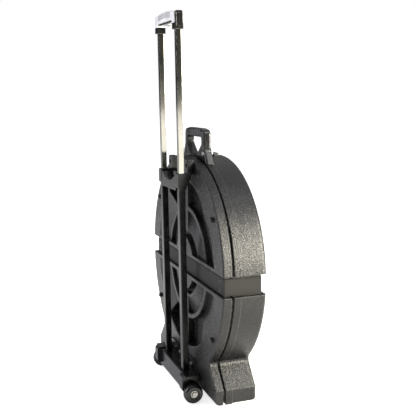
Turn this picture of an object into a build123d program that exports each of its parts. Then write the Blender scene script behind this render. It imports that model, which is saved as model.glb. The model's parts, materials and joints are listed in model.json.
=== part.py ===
from build123d import *
import math
import os

os.makedirs("parts", exist_ok=True)

# A round, roto-moulded cymbal case that stands on a flared foot.
# +Z is up, X runs along the wheel axle, the towing handle is on the -Y side.
# The origin is on the floor, under the middle of the case.

# ---------------------------------------------------------------- driving sizes
R = 340.0                 # radius of the round case
ZC = 403.0                # height of the disc's centre
WALL = 4.0                # moulded wall
BACK_Y = -37.8            # flat face of the back shell
BACK_RIM_Y = BACK_Y + 26.5
TONGUE_Y = BACK_Y + 49.0  # free edge of the back shell's tongue
LIP_Y = BACK_Y + 34.7     # edge of the front shell
STEP_Y = LIP_Y + 21.0     # end of the front shell's lip band
FRONT_Y = BACK_Y + 135.0  # flat face of the front shell
LIP_STEP = 1.5            # the lip band stands this far proud
SPLIT_Y = (BACK_RIM_Y + LIP_Y) / 2
TONGUE_INSET = 6.0
TONGUE_WALL = 4.0

FOOT_Z = 30.0             # underside of the foot
FOOT_X = 274.5            # half width of the foot
FLARE_Z = 74.0            # top of the foot's upright edge
FLARE_SLOPE = 1.19
WAIST_R = 13.0
ARCH_X = 130.0            # half width of the raised underside
ARCH_H = 8.0

CHANNEL_Z = 401.0         # strap channel's middle
CHANNEL_H = 60.0
CHANNEL_D = 12.0          # depth in the faces
NOTCH_X = 318.0           # floor of the channel at the rims
LIP_H = 10.0              # lips above and below the channel
HEEL_R = 18.0             # rounded lower back edge of the foot

WEB_Z = 397.5             # strap webbing
WEB_H = 50.0
WEB_T = 2.5
RIVET_X = 290.0
STUD_X = 255.0
STUD_DZ = 177.0
GAP = 0.1                 # clearance under webbing and round moving pieces

RELIEF_R = 272.0          # inner edge of the back face
RING_R1 = 181.0
RING_R0 = 168.0
DISC_R = 104.0
BOSS_R = 86.0
RING_DROP = 10.0
CONE_DROP = 27.5
POCKET_DROP = 33.0
POCKET_ANGLE = 53.0

TUBE_X = 86.7             # half spacing of the handle tubes
TUBE_Y = BACK_Y - 26.55   # tube line at the floor
LEAN = math.degrees(math.atan(0.0165))
OUTER_W = 20.0
OUTER_BORE = 16.3
INNER_W = 15.7
INNER_BORE = 13.3
TUBE_FOOT = 52.0          # heights along the leaning tubes
TUBE_TOP = 690.0
BUSH_TOP = 697.0
INNER_FOOT = 586.0
INNER_TOP = 1136.0
PIN_H = 600.0
GROOVE_W = 6.4
GROOVE_D = 1.0

AXLE_Y = BACK_Y - 28.0
WHEEL_R = 30.0
AXLE_Z = WHEEL_R
WHEEL_X0 = 151.0
WHEEL_X1 = 177.0
WHEEL_MID = (WHEEL_X0 + WHEEL_X1) / 2
BEARING_R = 11.0
BEARING_W = 7.0
AXLE_R = 4.0
HUB_R = 17.0

GRIP_FOOT = 1119.0
GRIP_TOP = 1172.0
BUTTON_TRAVEL = 4.0
PIN_TRAVEL = 1.0

HANDLE_Y = BACK_Y + 46.7  # middle of the carry handle
HANDLE_W = 23.6
HANDLE_TOP = 828.0

POST_R = 4.0
POST_END = BACK_Y + 113.0
POST_SEAT = BACK_Y + CHANNEL_D + WALL
ANCHOR_X = 85.0           # anchors that hold the carry handle
ANCHOR_Y = BACK_Y + 53.0
ANCHOR_Z = 753.0
FRONT_FOOT_X = 172.0
FRONT_FOOT_Y = BACK_Y + 95.0
FRONT_FOOT_R = 18.0

SIDES = {"left": -1, "right": 1}
STUDS = [(side * STUD_X, ZC + dz) for side in (-1, 1) for dz in (-STUD_DZ, STUD_DZ)]
RIVETS = [(side * RIVET_X, z) for side in (-1, 1) for z in (WEB_Z - 15, WEB_Z + 13)]
HOUSING_BOLTS = [(x, 93.0) for x in (-82.0, -28.0, 28.0, 82.0)]
BRACKET_BOLTS = [(x, 720.0) for x in (-81.0, 81.0)]
POST_BOLTS = [(x, ZC + dz) for x in (-22.0, 22.0) for dz in (-14.0, 10.0)]


# ---------------------------------------------------------------- helpers
def upright(y):
    """Sketch plane parallel to the case's faces; local x is X and local y is Z."""
    return Plane.XZ.offset(-y)


def block(x0, x1, y0, y1, z0, z1, mode=Mode.ADD):
    """Box between two corners, joined to the current part."""
    with Locations(((x0 + x1) / 2, (y0 + y1) / 2, (z0 + z1) / 2)):
        return Box(abs(x1 - x0), abs(y1 - y0), abs(z1 - z0), mode=mode)


def rod(radius, y0, y1, x, z, mode=Mode.ADD):
    """Cylinder along Y."""
    with Locations((x, (y0 + y1) / 2, z)):
        return Cylinder(radius, y1 - y0, rotation=(90, 0, 0), mode=mode)


def axle_rod(radius, x0, x1, mode=Mode.ADD):
    """Cylinder along X on the wheel axle."""
    with Locations(((x0 + x1) / 2, AXLE_Y, AXLE_Z)):
        return Cylinder(radius, abs(x1 - x0), rotation=(0, 90, 0), mode=mode)


def case_outline(inset=0.0):
    """Disc on a flared foot, drawn in the current sketch, moved in by inset."""
    reach = 84.5
    with Locations((0, ZC)):
        Circle(R)
    top_x = FOOT_X - reach
    top_z = FLARE_Z + reach * FLARE_SLOPE
    Polygon((-FOOT_X, FOOT_Z), (FOOT_X, FOOT_Z), (FOOT_X, FLARE_Z), (top_x, top_z),
            (-top_x, top_z), (-FOOT_X, FLARE_Z), align=None)
    Polygon((-ARCH_X - ARCH_H, FOOT_Z - 1), (ARCH_X + ARCH_H, FOOT_Z - 1), (ARCH_X, FOOT_Z + ARCH_H),
            (-ARCH_X, FOOT_Z + ARCH_H), align=None, mode=Mode.SUBTRACT)
    waist = vertices().filter_by_position(Axis.Y, FLARE_Z + 40, FLARE_Z + 95)
    fillet(waist, WAIST_R)
    if inset:
        offset(amount=-inset, kind=Kind.INTERSECTION, mode=Mode.REPLACE)


def slab(y0, y1, inset=0.0, mode=Mode.ADD):
    """Slice of the case between two Y values."""
    with BuildSketch(upright(y0)) as outline:
        case_outline(inset)
    extrude(outline.sketch, amount=-(y1 - y0), mode=mode)


def channel_boxes(x_in, x_out, y0, y1, grow, mode):
    """Strap channel where it crosses the rim on both sides, grown by grow."""
    low = CHANNEL_Z - CHANNEL_H / 2 - grow
    high = CHANNEL_Z + CHANNEL_H / 2 + grow
    for side in (-1, 1):
        block(side * x_in, side * x_out, y0, y1, low, high, mode)


def back_relief(grow):
    """Hollow pressed into the back face, with its walls moved out by grow."""
    axis_plane = Plane(origin=(0, 0, ZC), x_dir=(1, 0, 0), z_dir=(0, 0, 1))
    above = BACK_Y - 8
    bar = CHANNEL_H / 2 + LIP_H - grow
    rib = 10.0 - grow
    with BuildPart() as relief:
        with BuildSketch(axis_plane):
            Polygon((RELIEF_R, BACK_Y), (RING_R1 + 3, BACK_Y + CONE_DROP), (RING_R1, BACK_Y + RING_DROP),
                    (RING_R0, BACK_Y + RING_DROP), (RING_R0 - 3, BACK_Y + 24), (DISC_R + 3, BACK_Y + RING_DROP),
                    (DISC_R, BACK_Y + RING_DROP), (DISC_R - 2, BACK_Y + 22), (BOSS_R + 3, BACK_Y + 22),
                    (BOSS_R, BACK_Y), (BOSS_R, above), (RELIEF_R, above), align=None)
            if grow:
                offset(amount=grow, kind=Kind.INTERSECTION, mode=Mode.REPLACE)
        revolve(axis=Axis((0, 0, ZC), (0, 1, 0)), revolution_arc=360)
        with BuildSketch(upright(above)):
            with Locations((0, ZC)):
                Circle(RELIEF_R - 4)
                Circle(RING_R1 + 4, mode=Mode.SUBTRACT)
            spread = 400 * math.tan(math.radians(90 - POCKET_ANGLE))
            Polygon((0, ZC), (spread, ZC + 400), (-spread, ZC + 400), align=None, mode=Mode.INTERSECT)
            fillet(vertices(), 8)
            if grow:
                offset(amount=grow, kind=Kind.INTERSECTION, mode=Mode.REPLACE)
        extrude(amount=-(BACK_Y + POCKET_DROP + grow - above))
        mirror(about=Plane.XY.offset(ZC))
        block(-300, 300, above - 10, 40, CHANNEL_Z - bar, CHANNEL_Z + bar, Mode.SUBTRACT)
        if rib > 0:
            for side in (-1, 1):
                block(-rib, rib, BACK_Y + RING_DROP + grow, 40, ZC + side * (DISC_R - 4), ZC + side * 290,
                      Mode.SUBTRACT)
    return relief.part


def front_relief(grow):
    """Two shallow ring grooves pressed into the front face."""
    axis_plane = Plane(origin=(0, 0, ZC), x_dir=(1, 0, 0), z_dir=(0, 0, 1))
    above = FRONT_Y + 8
    drop = 8.0
    bar = CHANNEL_H / 2 + LIP_H - grow
    with BuildPart() as relief:
        for r_out, r_in in ((RELIEF_R, RING_R1), (RING_R0, BOSS_R)):
            with BuildSketch(axis_plane):
                Polygon((r_out, FRONT_Y), (r_out - 5, FRONT_Y - drop), (r_in + 5, FRONT_Y - drop),
                        (r_in, FRONT_Y), (r_in, above), (r_out, above), align=None)
                if grow:
                    offset(amount=grow, kind=Kind.INTERSECTION, mode=Mode.REPLACE)
            revolve(axis=Axis((0, 0, ZC), (0, 1, 0)), revolution_arc=360)
        block(-300, 300, 40, above + 10, CHANNEL_Z - bar, CHANNEL_Z + bar, Mode.SUBTRACT)
    return relief.part


back_skin = back_relief(WALL)
back_hollow = back_relief(0)
front_skin = front_relief(WALL)
front_hollow = front_relief(0)

leaning = Plane(origin=(0, TUBE_Y, 0), x_dir=(1, 0, 0),
                z_dir=(0, -math.sin(math.radians(LEAN)), math.cos(math.radians(LEAN))))


def tube_y(height):
    """Y of the tube line at a height along it."""
    return TUBE_Y - math.sin(math.radians(LEAN)) * height


# ---------------------------------------------------------------- back shell
with BuildPart() as back_shell:
    slab(BACK_Y, BACK_RIM_Y)
    fillet(faces().sort_by(Axis.Y)[0].edges(), 4)
    slab(BACK_RIM_Y - WALL, TONGUE_Y, TONGUE_INSET)
    slab(BACK_Y + WALL, BACK_RIM_Y - WALL, WALL, Mode.SUBTRACT)
    slab(BACK_RIM_Y - WALL - 0.01, TONGUE_Y + 1, TONGUE_INSET + TONGUE_WALL, Mode.SUBTRACT)
    channel_boxes(NOTCH_X - WALL, R - 3, BACK_Y + 1, BACK_RIM_Y, WALL, Mode.ADD)
    channel_boxes(NOTCH_X - TONGUE_INSET - TONGUE_WALL, R - 9, BACK_RIM_Y - WALL, TONGUE_Y,
                  TONGUE_INSET + TONGUE_WALL, Mode.ADD)
    low_z = CHANNEL_Z - CHANNEL_H / 2
    high_z = CHANNEL_Z + CHANNEL_H / 2
    block(-NOTCH_X + 1, NOTCH_X - 1, BACK_Y + 1, BACK_Y + CHANNEL_D + WALL, low_z - WALL, high_z + WALL)
    add(back_skin)
    block(-R, R, BACK_Y - 20, BACK_Y, 0, 2 * ZC, Mode.SUBTRACT)
    add(back_hollow, mode=Mode.SUBTRACT)
    block(-R - 5, R + 5, BACK_Y - 5, BACK_Y + CHANNEL_D, low_z, high_z, Mode.SUBTRACT)
    channel_boxes(NOTCH_X, R + 5, BACK_Y - 5, BACK_RIM_Y, 0, Mode.SUBTRACT)
    channel_boxes(NOTCH_X - TONGUE_INSET, R + 5, BACK_RIM_Y, TONGUE_Y + 1, TONGUE_INSET, Mode.SUBTRACT)
    for side in (-1, 1):
        pad_in = side * (ARCH_X + ARCH_H)
        pad_out = side * (FOOT_X - 1)
        block(pad_in, pad_out, BACK_Y, BACK_Y + HEEL_R, FOOT_Z, FOOT_Z + HEEL_R)
        with BuildSketch(Plane.YZ.offset(pad_in + side * WALL)) as heel:
            with Locations((BACK_Y + HEEL_R, FOOT_Z + HEEL_R)):
                Circle(HEEL_R - WALL)
        extrude(heel.sketch, amount=side * (FOOT_X - ARCH_X - ARCH_H - 2 * WALL), mode=Mode.SUBTRACT)
        with BuildSketch(Plane.YZ.offset(pad_in)) as corner:
            with Locations((BACK_Y + HEEL_R / 2 - 5, FOOT_Z + HEEL_R / 2 - 5)):
                Rectangle(HEEL_R + 10, HEEL_R + 10)
            with Locations((BACK_Y + HEEL_R, FOOT_Z + HEEL_R)):
                Circle(HEEL_R, mode=Mode.SUBTRACT)
        extrude(corner.sketch, amount=side * 150, mode=Mode.SUBTRACT)
    for x, z in STUDS:
        rod(AXLE_R + GAP, BACK_Y - 1, BACK_Y + WALL + 1, x, z, Mode.SUBTRACT)
    for x, z in RIVETS:
        rod(2 + GAP, BACK_Y, BACK_Y + CHANNEL_D + WALL + 1, x, z, Mode.SUBTRACT)
    for x, z in HOUSING_BOLTS + BRACKET_BOLTS:
        rod(3 + GAP, BACK_Y - 1, BACK_Y + WALL + 1, x, z, Mode.SUBTRACT)
    for x, z in POST_BOLTS:
        rod(2.5 + GAP, BACK_Y, POST_SEAT + 1, x, z, Mode.SUBTRACT)
        with Locations(Location((x, BACK_Y + CHANNEL_D + 1.25, z), (-90, 0, 0))):
            Cone(5 + GAP, 2.5 + GAP, 2.5, mode=Mode.SUBTRACT)
back_shell.part.label = "back_shell"
export_step(back_shell.part, "parts/back_shell.step")

# ---------------------------------------------------------------- front shell
with BuildPart() as front_shell:
    slab(STEP_Y, FRONT_Y, LIP_STEP)
    fillet(faces().sort_by(Axis.Y)[-1].edges(), 13)
    slab(LIP_Y, STEP_Y)
    slab(LIP_Y - 1, STEP_Y, WALL, Mode.SUBTRACT)
    slab(STEP_Y - 0.01, FRONT_Y - WALL, WALL + LIP_STEP, Mode.SUBTRACT)
    channel_boxes(NOTCH_X - WALL, R - 5, LIP_Y, FRONT_Y - 5, WALL, Mode.ADD)
    block(-NOTCH_X + 1, NOTCH_X - 1, FRONT_Y - CHANNEL_D - WALL, FRONT_Y - 1, low_z - WALL, high_z + WALL)
    add(front_skin)
    block(-R, R, FRONT_Y, FRONT_Y + 20, 0, 2 * ZC, Mode.SUBTRACT)
    add(front_hollow, mode=Mode.SUBTRACT)
    block(-R - 5, R + 5, FRONT_Y - CHANNEL_D, FRONT_Y + 5, low_z, high_z, Mode.SUBTRACT)
    channel_boxes(NOTCH_X, R + 5, LIP_Y - 1, FRONT_Y + 5, 0, Mode.SUBTRACT)
    for x, z in RIVETS:
        rod(2 + GAP, FRONT_Y - CHANNEL_D - WALL - 1, FRONT_Y, x, z, Mode.SUBTRACT)
    for side in (-1, 1):
        block(side * (ANCHOR_X - 8 - GAP), side * (ANCHOR_X + 8 + GAP), ANCHOR_Y - 1.5 - GAP, ANCHOR_Y + 1.5 + GAP,
              ZC + R - 40, ZC + R, Mode.SUBTRACT)
        with Locations((side * FRONT_FOOT_X, FRONT_FOOT_Y, FOOT_Z)):
            Cylinder(3 + GAP, 3 * WALL, mode=Mode.SUBTRACT)
front_shell.part.label = "front_shell"
export_step(front_shell.part, "parts/front_shell.step")

# ---------------------------------------------------------------- foam linings
with BuildPart() as back_liner:
    slab(BACK_Y + POCKET_DROP + WALL, BACK_Y + 47, TONGUE_INSET + TONGUE_WALL)
    channel_boxes(NOTCH_X - 10, R, BACK_Y, BACK_Y + 60, 10, Mode.SUBTRACT)
    rod(45, BACK_Y, BACK_Y + 60, 0, ZC, Mode.SUBTRACT)
back_liner.part.label = "back_liner"
export_step(back_liner.part, "parts/back_liner.step")

with BuildPart() as rim_liner:
    slab(BACK_Y + 57, BACK_Y + 109, WALL + LIP_STEP)
    slab(BACK_Y + 56, BACK_Y + 110, 15, Mode.SUBTRACT)
    channel_boxes(304, 326, BACK_Y + 57, BACK_Y + 109, 14, Mode.ADD)
    channel_boxes(NOTCH_X - WALL, R, BACK_Y + 50, BACK_Y + 120, WALL, Mode.SUBTRACT)
    for side in (-1, 1):
        with Locations((side * FRONT_FOOT_X, FRONT_FOOT_Y, FOOT_Z + 15)):
            Cylinder(9, 30, mode=Mode.SUBTRACT)
rim_liner.part.label = "rim_liner"
export_step(rim_liner.part, "parts/rim_liner.step")

with BuildPart() as front_liner:
    slab(BACK_Y + 109, FRONT_Y - CHANNEL_D - WALL, 16)
    channel_boxes(NOTCH_X - WALL, R, BACK_Y + 50, BACK_Y + 130, WALL, Mode.SUBTRACT)
    rod(40, BACK_Y + 100, BACK_Y + 130, 0, ZC, Mode.SUBTRACT)
    for x, z in RIVETS:
        rod(6, BACK_Y + 100, BACK_Y + 130, x, z, Mode.SUBTRACT)
front_liner.part.label = "front_liner"
export_step(front_liner.part, "parts/front_liner.step")

# ---------------------------------------------------------------- domed studs and their nuts
with BuildPart() as dome_bolts:
    for x, z in STUDS:
        with Locations(Location((x, BACK_Y - 5, z), (90, 0, 0))):
            Cylinder(8, 10)
        rod(AXLE_R, BACK_Y - 1, BACK_Y + WALL + 8, x, z)
    fillet(faces().group_by(Axis.Y)[0].edges(), 5.5)
dome_bolts.part.label = "dome_bolts"
export_step(dome_bolts.part, "parts/dome_bolts.step")

with BuildPart() as dome_nuts:
    for x, z in STUDS:
        with BuildSketch(upright(BACK_Y + WALL)) as hexagon:
            with Locations((x, z)):
                RegularPolygon(7.5, 6)
                Circle(AXLE_R, mode=Mode.SUBTRACT)
        extrude(hexagon.sketch, amount=-6)
dome_nuts.part.label = "dome_nuts"
export_step(dome_nuts.part, "parts/dome_nuts.step")

# ---------------------------------------------------------------- centre post
with BuildPart() as post_base:
    rod(32, POST_SEAT, POST_SEAT + 4, 0, ZC)
    rod(12, POST_SEAT + 4, BACK_Y + 30, 0, ZC)
    rod(POST_R, BACK_Y + 18, BACK_Y + 31, 0, ZC, Mode.SUBTRACT)
    for x, z in POST_BOLTS:
        rod(2.5, POST_SEAT - 1, POST_SEAT + 5, x, z, Mode.SUBTRACT)
post_base.part.label = "post_base"
export_step(post_base.part, "parts/post_base.step")

with BuildPart() as post_screws:
    for x, z in POST_BOLTS:
        with Locations(Location((x, BACK_Y + CHANNEL_D + 1.25, z), (-90, 0, 0))):
            Cone(5, 2.5, 2.5)
        rod(2.5, BACK_Y + CHANNEL_D + 2, POST_SEAT + 4, x, z)
post_screws.part.label = "post_screws"
export_step(post_screws.part, "parts/post_screws.step")

with BuildPart() as centre_post:
    rod(POST_R, BACK_Y + 18, POST_END, 0, ZC)
centre_post.part.label = "centre_post"
export_step(centre_post.part, "parts/centre_post.step")

with BuildPart() as post_sleeve:
    rod(6, BACK_Y + 30, BACK_Y + 92, 0, ZC)
    rod(22, BACK_Y + 44, BACK_Y + 48, 0, ZC)
    rod(POST_R + GAP / 2, BACK_Y + 29, BACK_Y + 93, 0, ZC, Mode.SUBTRACT)
post_sleeve.part.label = "post_sleeve"
export_step(post_sleeve.part, "parts/post_sleeve.step")

with BuildPart() as post_felts:
    for start in (48, 84):
        rod(20, BACK_Y + start, BACK_Y + start + 8, 0, ZC)
        rod(6, BACK_Y + start - 1, BACK_Y + start + 9, 0, ZC, Mode.SUBTRACT)
post_felts.part.label = "post_felts"
export_step(post_felts.part, "parts/post_felts.step")

NUT_Y = BACK_Y + 94
with BuildPart() as post_washer:
    rod(18, NUT_Y - 2, NUT_Y, 0, ZC)
    rod(POST_R + GAP / 2, NUT_Y - 3, NUT_Y + 1, 0, ZC, Mode.SUBTRACT)
post_washer.part.label = "post_washer"
export_step(post_washer.part, "parts/post_washer.step")

with BuildPart() as wing_nut:
    rod(7, NUT_Y, NUT_Y + 8, 0, ZC)
    for side in (-1, 1):
        block(side * 6, side * 18, NUT_Y + 2, NUT_Y + 12, ZC - 1.5, ZC + 1.5)
    rod(POST_R + GAP / 2, NUT_Y - 1, NUT_Y + 13, 0, ZC, Mode.SUBTRACT)
wing_nut.part.label = "wing_nut"
export_step(wing_nut.part, "parts/wing_nut.step")

# ---------------------------------------------------------------- strap
with BuildPart() as strap_rear:
    with BuildSketch(Plane.XY.offset(WEB_Z - WEB_H / 2)) as web:
        with Locations((0, (BACK_Y + CHANNEL_D - WEB_T + SPLIT_Y) / 2)):
            Rectangle(2 * (NOTCH_X + WEB_T), SPLIT_Y - BACK_Y - CHANNEL_D + WEB_T)
        with Locations((0, (BACK_Y + CHANNEL_D + SPLIT_Y + 1) / 2)):
            Rectangle(2 * NOTCH_X, SPLIT_Y + 1 - BACK_Y - CHANNEL_D, mode=Mode.SUBTRACT)
    extrude(web.sketch, amount=WEB_H)
    for x, z in RIVETS:
        rod(2 + GAP, BACK_Y, BACK_Y + 20, x, z, Mode.SUBTRACT)
strap_rear.part.label = "strap_rear"
export_step(strap_rear.part, "parts/strap_rear.step")

STRAP_FACE = FRONT_Y - CHANNEL_D + WEB_T
with BuildPart() as strap_front:
    with BuildSketch(Plane.XY.offset(WEB_Z - WEB_H / 2)) as web:
        with Locations((0, (SPLIT_Y + GAP + STRAP_FACE) / 2)):
            Rectangle(2 * (NOTCH_X + WEB_T), STRAP_FACE - SPLIT_Y - GAP)
        with Locations((0, (SPLIT_Y - 1 + STRAP_FACE - WEB_T) / 2)):
            Rectangle(2 * NOTCH_X, STRAP_FACE - WEB_T - SPLIT_Y + 1, mode=Mode.SUBTRACT)
    extrude(web.sketch, amount=WEB_H)
    for x, z in RIVETS:
        rod(2 + GAP, FRONT_Y - 20, FRONT_Y, x, z, Mode.SUBTRACT)
strap_front.part.label = "strap_front"
export_step(strap_front.part, "parts/strap_front.step")

with BuildPart() as strap_rivets:
    for x, z in RIVETS:
        rod(4, BACK_Y + CHANNEL_D - WEB_T - 1.2, BACK_Y + CHANNEL_D - WEB_T, x, z)
        rod(2, BACK_Y + CHANNEL_D - WEB_T - 1, POST_SEAT + 1, x, z)
        rod(4, POST_SEAT, POST_SEAT + 1.2, x, z)
strap_rivets.part.label = "strap_rivets"
export_step(strap_rivets.part, "parts/strap_rivets.step")

with BuildPart() as front_rivets:
    for x, z in RIVETS:
        rod(4, STRAP_FACE, STRAP_FACE + 1.2, x, z)
        rod(2, STRAP_FACE - WEB_T - WALL - 1, STRAP_FACE + 1, x, z)
        rod(4, STRAP_FACE - WEB_T - WALL - 1.2, STRAP_FACE - WEB_T - WALL, x, z)
front_rivets.part.label = "front_rivets"
export_step(front_rivets.part, "parts/front_rivets.step")

# ---------------------------------------------------------------- buckle on the front of the strap
BUCKLE_T = 8.5
with BuildPart() as buckle_female:
    block(-30, 12, STRAP_FACE, STRAP_FACE + BUCKLE_T, WEB_Z - 26, WEB_Z + 26)
    fillet(edges().filter_by(Axis.Y), 5)
    block(-18, 13, STRAP_FACE + 2, STRAP_FACE + BUCKLE_T - 2, WEB_Z - 23, WEB_Z + 23, Mode.SUBTRACT)
    for side in (-1, 1):
        block(-16, -2, STRAP_FACE + 1, STRAP_FACE + BUCKLE_T - 1, WEB_Z + side * 20, WEB_Z + side * 30, Mode.SUBTRACT)
buckle_female.part.label = "buckle_female"
export_step(buckle_female.part, "parts/buckle_female.step")

with BuildPart() as buckle_male:
    block(12, 34, STRAP_FACE, STRAP_FACE + BUCKLE_T, WEB_Z - 26, WEB_Z + 26)
    fillet(edges().filter_by(Axis.Y), 4)
    for z in (-20, 0, 20):
        block(-17, 13, STRAP_FACE + 2 + GAP, STRAP_FACE + BUCKLE_T - 2 - GAP, WEB_Z + z - 3, WEB_Z + z + 3)
    for side in (-1, 1):
        block(-14, -4, STRAP_FACE + 2 + GAP, STRAP_FACE + BUCKLE_T - 2 - GAP, WEB_Z + side * 20, WEB_Z + side * 25)
buckle_male.part.label = "buckle_male"
export_step(buckle_male.part, "parts/buckle_male.step")

# ---------------------------------------------------------------- upper bracket
COLLAR_TOP = 696.0
COLLAR_W = 28.0


def leaning_bore(size, low, high):
    """Cut a square hole along both handle tubes."""
    for side in (-1, 1):
        with Locations(leaning):
            with Locations((side * TUBE_X, 0, (low + high) / 2)):
                Box(size, size, high - low, mode=Mode.SUBTRACT)


with BuildPart() as upper_bracket:
    block(-95, 95, BACK_Y - 19, BACK_Y, 692, 739)
    fillet(edges().filter_by(Axis.Y).group_by(Axis.Z)[-1], 6)
    fillet(edges().filter_by(Axis.X).group_by(Axis.Z)[-1], 2.5)
    for side in (-1, 1):
        start = side * TUBE_X - COLLAR_W / 2
        with BuildSketch(Plane.YZ.offset(start)) as arm:
            Polygon((BACK_Y - 51, 655), (BACK_Y - 51, COLLAR_TOP), (BACK_Y - 10, COLLAR_TOP),
                    (BACK_Y - 10, 684), (BACK_Y - 20, 668), (BACK_Y - 27, 647), (BACK_Y - 44, 647), align=None)
            fillet(vertices().group_by(Axis.Y)[0], 4)
        extrude(arm.sketch, amount=COLLAR_W)
    with BuildSketch(upright(BACK_Y - 50)) as saddle:
        with Locations((0, 667)):
            Rectangle(2 * TUBE_X - COLLAR_W + 2, 46)
        with Locations((0, 722)):
            Ellipse(78, 52, mode=Mode.SUBTRACT)
    extrude(saddle.sketch, amount=-32)
    block(-68, 68, BACK_Y - 46, BACK_Y - 23, 640, 662, Mode.SUBTRACT)
    leaning_bore(OUTER_W, 630, 720)
    for x, z in BRACKET_BOLTS:
        rod(3 + GAP, BACK_Y - 10, BACK_Y + 1, x, z, Mode.SUBTRACT)
        rod(7, BACK_Y - 40, BACK_Y - 9, x, z, Mode.SUBTRACT)
upper_bracket.part.label = "upper_bracket"
export_step(upper_bracket.part, "parts/upper_bracket.step")


def bolt(x, z, seat):
    """Round-head bolt through the back wall, its head on the seat plane."""
    rod(5.5, seat - 3.5, seat, x, z)
    rod(3, seat - 1, BACK_Y + WALL + 6, x, z)


def nut(x, z):
    """Hexagon nut inside the back wall."""
    with BuildSketch(upright(BACK_Y + WALL)) as hexagon:
        with Locations((x, z)):
            RegularPolygon(5.8, 6)
            Circle(3, mode=Mode.SUBTRACT)
    extrude(hexagon.sketch, amount=-5)



# ---------------------------------------------------------------- axle housing
with BuildPart() as axle_housing:
    with BuildSketch(Plane.YZ.offset(-120)) as bar:
        with Locations((AXLE_Y, AXLE_Z + 24.5)):
            Rectangle(34, 49)
        with Locations((AXLE_Y, AXLE_Z)):
            Circle(17)
    extrude(bar.sketch, amount=240)
    fillet(edges().filter_by(Axis.X).group_by(Axis.Z)[-1], 4)
    for side in (-1, 1):
        inner = side * 118
        with BuildSketch(Plane.YZ.offset(inner)) as lobe:
            with Locations((BACK_Y - 30.5, AXLE_Z + 26.5)):
                RectangleRounded(53, 53, 9)
            with Locations((AXLE_Y, AXLE_Z)):
                Circle(17)
        extrude(lobe.sketch, amount=side * 29)
        block(side * 146, side * 160, BACK_Y - 49, BACK_Y - 12, AXLE_Z + 50, AXLE_Z + 53)
    block(-125, 125, BACK_Y - 5, BACK_Y, 52, 112)
    block(-110, 110, BACK_Y - 12, BACK_Y - 4, 50, 76)
    leaning_bore(OUTER_W, TUBE_FOOT, 110)
    for side in (-1, 1):
        axle_rod(AXLE_R, side * 122, side * 148, Mode.SUBTRACT)
    for x, z in HOUSING_BOLTS:
        rod(3 + GAP, BACK_Y - 10, BACK_Y + 1, x, z, Mode.SUBTRACT)
axle_housing.part.label = "axle_housing"
export_step(axle_housing.part, "parts/axle_housing.step")

with BuildPart() as wall_bolts:
    for x, z in BRACKET_BOLTS:
        bolt(x, z, BACK_Y - 9)
    for x, z in HOUSING_BOLTS:
        bolt(x, z, BACK_Y - 5)
wall_bolts.part.label = "wall_bolts"
export_step(wall_bolts.part, "parts/wall_bolts.step")

with BuildPart() as wall_nuts:
    for x, z in BRACKET_BOLTS + HOUSING_BOLTS:
        nut(x, z)
wall_nuts.part.label = "wall_nuts"
export_step(wall_nuts.part, "parts/wall_nuts.step")


# ---------------------------------------------------------------- telescopic tubes and lock
def sloped_bar(centre, width, depth, low, high, mode):
    """Bar that leans a quarter of its height sideways and is centred at the lock pin."""
    slope = -0.25 * (1 if centre > 0 else -1)
    shift_low = (low - PIN_H) * slope
    shift_high = (high - PIN_H) * slope
    half = width / 2
    with BuildSketch(Plane.XZ.offset(-depth / 2)) as side_view:
        Polygon((centre + shift_low - half, low), (centre + shift_low + half, low),
                (centre + shift_high + half, high), (centre + shift_high - half, high), align=None)
    extrude(side_view.sketch, amount=depth, mode=mode)


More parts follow.
